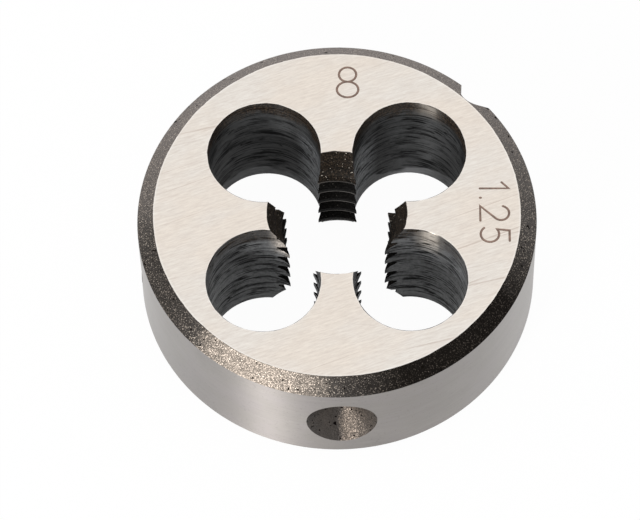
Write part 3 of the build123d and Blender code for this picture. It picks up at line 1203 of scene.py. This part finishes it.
def cut_thread(s):
    """Black flanks with a painted highlight along the tooth edges, and brown leads with a few bright sparks.
    """
    grain = s.grain(5.5)
    lead = s.spread(s.place["Depth"], *LEAD)
    # Painted highlight: a thin pale line along each crest's edge, where light catches it
    edge = s.spread(s.math("ABSOLUTE", s.math("ADD", s.place["Crest"], CREST_HIGHLIGHT)), *TOOTH_HIGHLIGHT_WIDTH)
    edge = s.times(edge, s.spread(s.place["Radius"], *CREST_INSIDE))
    sparks = s.spread(s.noise(s.point, 8.5, 1.0), 0.72, 0.76)
    tint = s.paint(
        s.mix(grain["Crystals"], shade(s.finish.thread, 0.5), shade(s.finish.thread, 2.0)),
        (s.times(edge, 0.8), TOOTH_HIGHLIGHT),
        (lead, s.mix(grain["Crystals"], PIT, LEAD_CRYSTAL)),
        (s.times(sparks, s.fade(lead, 0.1, 0.9)), SPARK),
    )
    return {
        "Base Color": tint,
        "Metallic": 0.1,
        "Specular IOR Level": s.fade(lead, 0.03, 0.12),
        "Roughness": 0.5,
        "Normal": s.bump(grain["Height"], 0.5, 0.05),
    }


def lead_cone(s):
    """Dark grainy steel."""
    grain = s.grain(5.5)
    return {
        "Base Color": s.mix(grain["Crystals"], LEAD_DARK, s.finish.lead),
        "Metallic": 0.1,
        "Specular IOR Level": 0.3,
        "Roughness": 0.5,
        "Normal": s.bump(grain["Height"], 0.45, 0.05),
    }


def rough_dimple(s):
    """Dark grainy steel with black pits, brighter right of the thread axis."""
    grain = s.grain(6.5)
    across = s.across()
    tone = s.spread(s.noise(s.point, 1.0, 3.0), 0.35, 0.65)
    ragged = s.math("MULTIPLY_ADD", s.noise(s.point, 2.0, 3.0), 0.8, across)
    dim = s.spread(across, *DIMPLE_DIM_SIDE, 1.0, 0.35)
    lit = s.times(s.spread(ragged, *DIMPLE_LIT_SIDE, 0.05, 0.85), dim)
    pits = s.most(grain["Pits"], s.spread(s.noise(s.point, 3.4, 1.0), 0.68, 0.71))
    tint = s.paint(
        s.mix(tone, DIMPLE_DARK, s.finish.dimple),
        (s.spread(across, *DIMPLE_DARK_SIDE, 0.0, 0.8), DIMPLE_SHADE),
        (s.times(lit, 0.3), DIMPLE_LIT),
        (s.times(grain["Crystals"], lit), DIMPLE_CRYSTAL),
        (pits, DIMPLE_PIT),
    )
    return {
        "Base Color": tint,
        "Metallic": s.spread(lit, 0.05, 0.8, 0.35, 0.8),
        "Specular IOR Level": s.fade(pits, 0.4, 0.0),
        "Roughness": s.fade(grain["Crystals"], 0.50, 0.34),
        "Normal": s.bump(grain["Height"], 0.7, 0.06),
    }


def etched_mark(s):
    """Brown etching of uneven depth of colour."""
    uneven = s.spread(s.noise(s.point, 3.0, 3.0), 0.35, 0.65)
    tint = s.mix(uneven, shade(s.finish.mark, 0.8), shade(s.finish.mark, 1.35))
    return {"Base Color": tint, "Metallic": 0.2, "Roughness": 0.6}


MATERIALS = {  # name of each material, by the function that works out its inputs
    ground_face: "Ground steel face",
    oxide_bevel: "Furnace oxide",
    ground_wall: "Ground steel wall",
    milled_notch: "Milled notch",
    drilled_hole: "Drilled wall",
    cut_thread: "Cut thread",
    lead_cone: "Lead cone",
    rough_dimple: "Rough dimple",
    etched_mark: "Etched mark",
}
FINISHES = [look.__name__ for look in MATERIALS]


def new_material(name):
    """A material, its node tree and its Principled shader."""
    material = bpy.data.materials.new(name)
    material.use_nodes = True
    return material, material.node_tree, material.node_tree.nodes["Principled BSDF"]


def die_materials(d, finish):
    """The die's materials, in the order of its finishes."""
    groups = {
        "place": die_place_group(d),
        "side": side_group(),
        "grinding": grinding_group(),
        "grain": grain_group(),
        "drilling": drill_marks_group(),
    }
    for look, name in MATERIALS.items():
        material, tree, principled = new_material(name)
        s = DieShader(tree, d, finish, groups)
        s.fill(principled.inputs, look(s))
        yield material


# ---------------------------------------------------------------- stage

FLOOR_SIZE = 4  # in metres
FLOOR_COLOUR, WHITE = (0.88, 0.88, 0.87), (1, 1, 1)
FLOOR_SEEN, FLOOR_REFLECTED = 0.97, 0.6  # how white the camera and reflections see the floor
WORLD_LIGHT = 0.8  # strength of the world where it isn't seen
LAMP_AZIMUTH, LAMP_ELEVATION = math.radians(-31), math.radians(26)
LAMP_DISTANCE, LAMP_SIZE = 0.6, 0.11  # in metres


def floor_material():
    """A pale floor that shows white, with a trace of the die's shadow, and is clear from below."""
    material, tree, principled = new_material("Pale floor")
    s = Shader(tree)
    s.fill(principled.inputs, {"Base Color": FLOOR_COLOUR, "Roughness": 0.9})
    path = s.node("LightPath")
    reflected = s.times(path["Is Camera Ray"], FLOOR_SEEN)
    seen = s.math("MULTIPLY_ADD", path["Is Glossy Ray"], FLOOR_REFLECTED, reflected)
    glow = s.node("Emission", {"Color": WHITE, "Strength": 1.0})[0]
    pale = s.node("MixShader", {0: seen, 1: principled.outputs[0], 2: glow})[0]
    behind = s.node("NewGeometry")["Backfacing"]
    clear = s.node("MixShader", {0: behind, 1: pale, 2: s.node("BsdfTransparent")[0]})[0]
    s.fill(tree.nodes["Material Output"].inputs, {"Surface": clear})
    return material


def white_world():
    """A world that lights softly and shows white behind the die and in its reflections."""
    world = bpy.data.worlds.new("Studio")
    world.use_nodes = True
    s = Shader(world.node_tree)
    path = s.node("LightPath")
    through = s.most(path["Is Glossy Ray"], path["Is Transmission Ray"])
    seen = s.most(path["Is Camera Ray"], through)
    background = world.node_tree.nodes["Background"].inputs
    s.fill(background, {"Color": WHITE, "Strength": s.fade(seen, WORLD_LIGHT, 1.0)})
    return world


def direction_out(azimuth, elevation):
    """The direction from the die by its turn from the front and its height over the horizon."""
    level = math.cos(elevation)
    return Vector((math.sin(azimuth) * level, -math.cos(azimuth) * level, math.sin(elevation)))


def add_lamp(power):
    """A square area lamp that faces the die from the front left."""
    data = bpy.data.lights.new("front_left_lamp", "AREA")
    data.size, data.energy = LAMP_SIZE, power
    lamp = bpy.data.objects.new("front_left_lamp", data)
    way = direction_out(LAMP_AZIMUTH, LAMP_ELEVATION)
    lamp.location = way * LAMP_DISTANCE
    lamp.rotation_mode = "QUATERNION"
    lamp.rotation_quaternion = way.to_track_quat("Z", "Y")
    lamp.visible_camera = False
    bpy.context.scene.collection.objects.link(lamp)


def add_camera(stage, face_height):
    """The camera, placed by its turn, height, distance and roll, and by where it looks."""
    back = direction_out(stage.azimuth, stage.elevation)
    level = Vector((math.cos(stage.azimuth), math.sin(stage.azimuth), 0))
    upward = back.cross(level)
    cos, sin = math.cos(stage.roll), math.sin(stage.roll)
    right = level * cos + upward * sin
    up = upward * cos - level * sin
    middle = Vector((0, 0, face_height))
    place = middle + back * stage.distance
    aim = middle + right * stage.aim_right + up * stage.aim_up
    back = (place - aim).normalized()
    right = (right - back * right.dot(back)).normalized()
    up = back.cross(right)
    data = bpy.data.cameras.new("Camera")
    data.lens = stage.lens
    data.clip_start, data.clip_end = 0.01, 10
    camera = bpy.data.objects.new("Camera", data)
    camera.matrix_world = Matrix.Translation(place) @ Matrix((right, up, back)).transposed().to_4x4()
    bpy.context.scene.collection.objects.link(camera)
    bpy.context.scene.camera = camera


# ---------------------------------------------------------------- operators and panel


class DIE_OT_body(bpy.types.Operator):
    """Model the die with its thread, holes, notch, dimples and finishes"""

    bl_idname = "die.body"
    bl_label = "Round die"

    def execute(self, context):
        d = die_measures(context.scene.die_sizes)
        mesh = die_surface(d).mesh("round_die")
        for material in die_materials(d, context.scene.die_finish):
            mesh.materials.append(material)
        body = bpy.data.objects.new("round_die", mesh)
        context.scene.collection.objects.link(body)
        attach(body, "root")
        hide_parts(NODE)
        return {"FINISHED"}


class DIE_OT_stage(bpy.types.Operator):
    """Set up the floor, the light and the camera"""

    bl_idname = "die.stage"
    bl_label = "Stage"

    def execute(self, context):
        stage = context.scene.die_stage
        bpy.ops.mesh.primitive_plane_add(size=FLOOR_SIZE)
        floor = context.object
        floor.name = "floor"
        floor.data.materials.append(floor_material())
        context.scene.world = white_world()
        context.scene.view_settings.view_transform = "Standard"
        add_lamp(stage.lamp_power)
        add_camera(stage, BOX_HIGH.z)
        return {"FINISHED"}


class DIE_PT_panel(bpy.types.Panel):
    """Buttons and sizes of the threading die"""

    bl_idname = "DIE_PT_panel"
    bl_label = "Threading Die"
    bl_space_type = "VIEW_3D"
    bl_region_type = "UI"
    bl_category = "Threading Die"

    def draw(self, context):
        for operator in OPERATORS:
            self.layout.operator(operator.bl_idname)
        for scene_name in SETTINGS:
            settings = getattr(context.scene, scene_name)
            box = self.layout.box()
            for name in settings.bl_rna.properties.keys():
                if name not in ("rna_type", "name"):
                    box.prop(settings, name)


SETTINGS = {"die_sizes": DieSizes, "die_finish": DieFinish, "die_stage": StageSettings}
OPERATORS = (DIE_OT_body, DIE_OT_stage)
CLASSES = (*SETTINGS.values(), *OPERATORS, DIE_PT_panel)


def register():
    for cls in CLASSES:
        bpy.utils.register_class(cls)
    for name, settings in SETTINGS.items():
        setattr(bpy.types.Scene, name, bpy.props.PointerProperty(type=settings))


def unregister():
    for name in SETTINGS:
        delattr(bpy.types.Scene, name)
    for cls in reversed(CLASSES):
        bpy.utils.unregister_class(cls)


def main():
    register()
    bpy.ops.die.body()
    bpy.ops.die.stage()


if __name__ == "__main__":
    main()
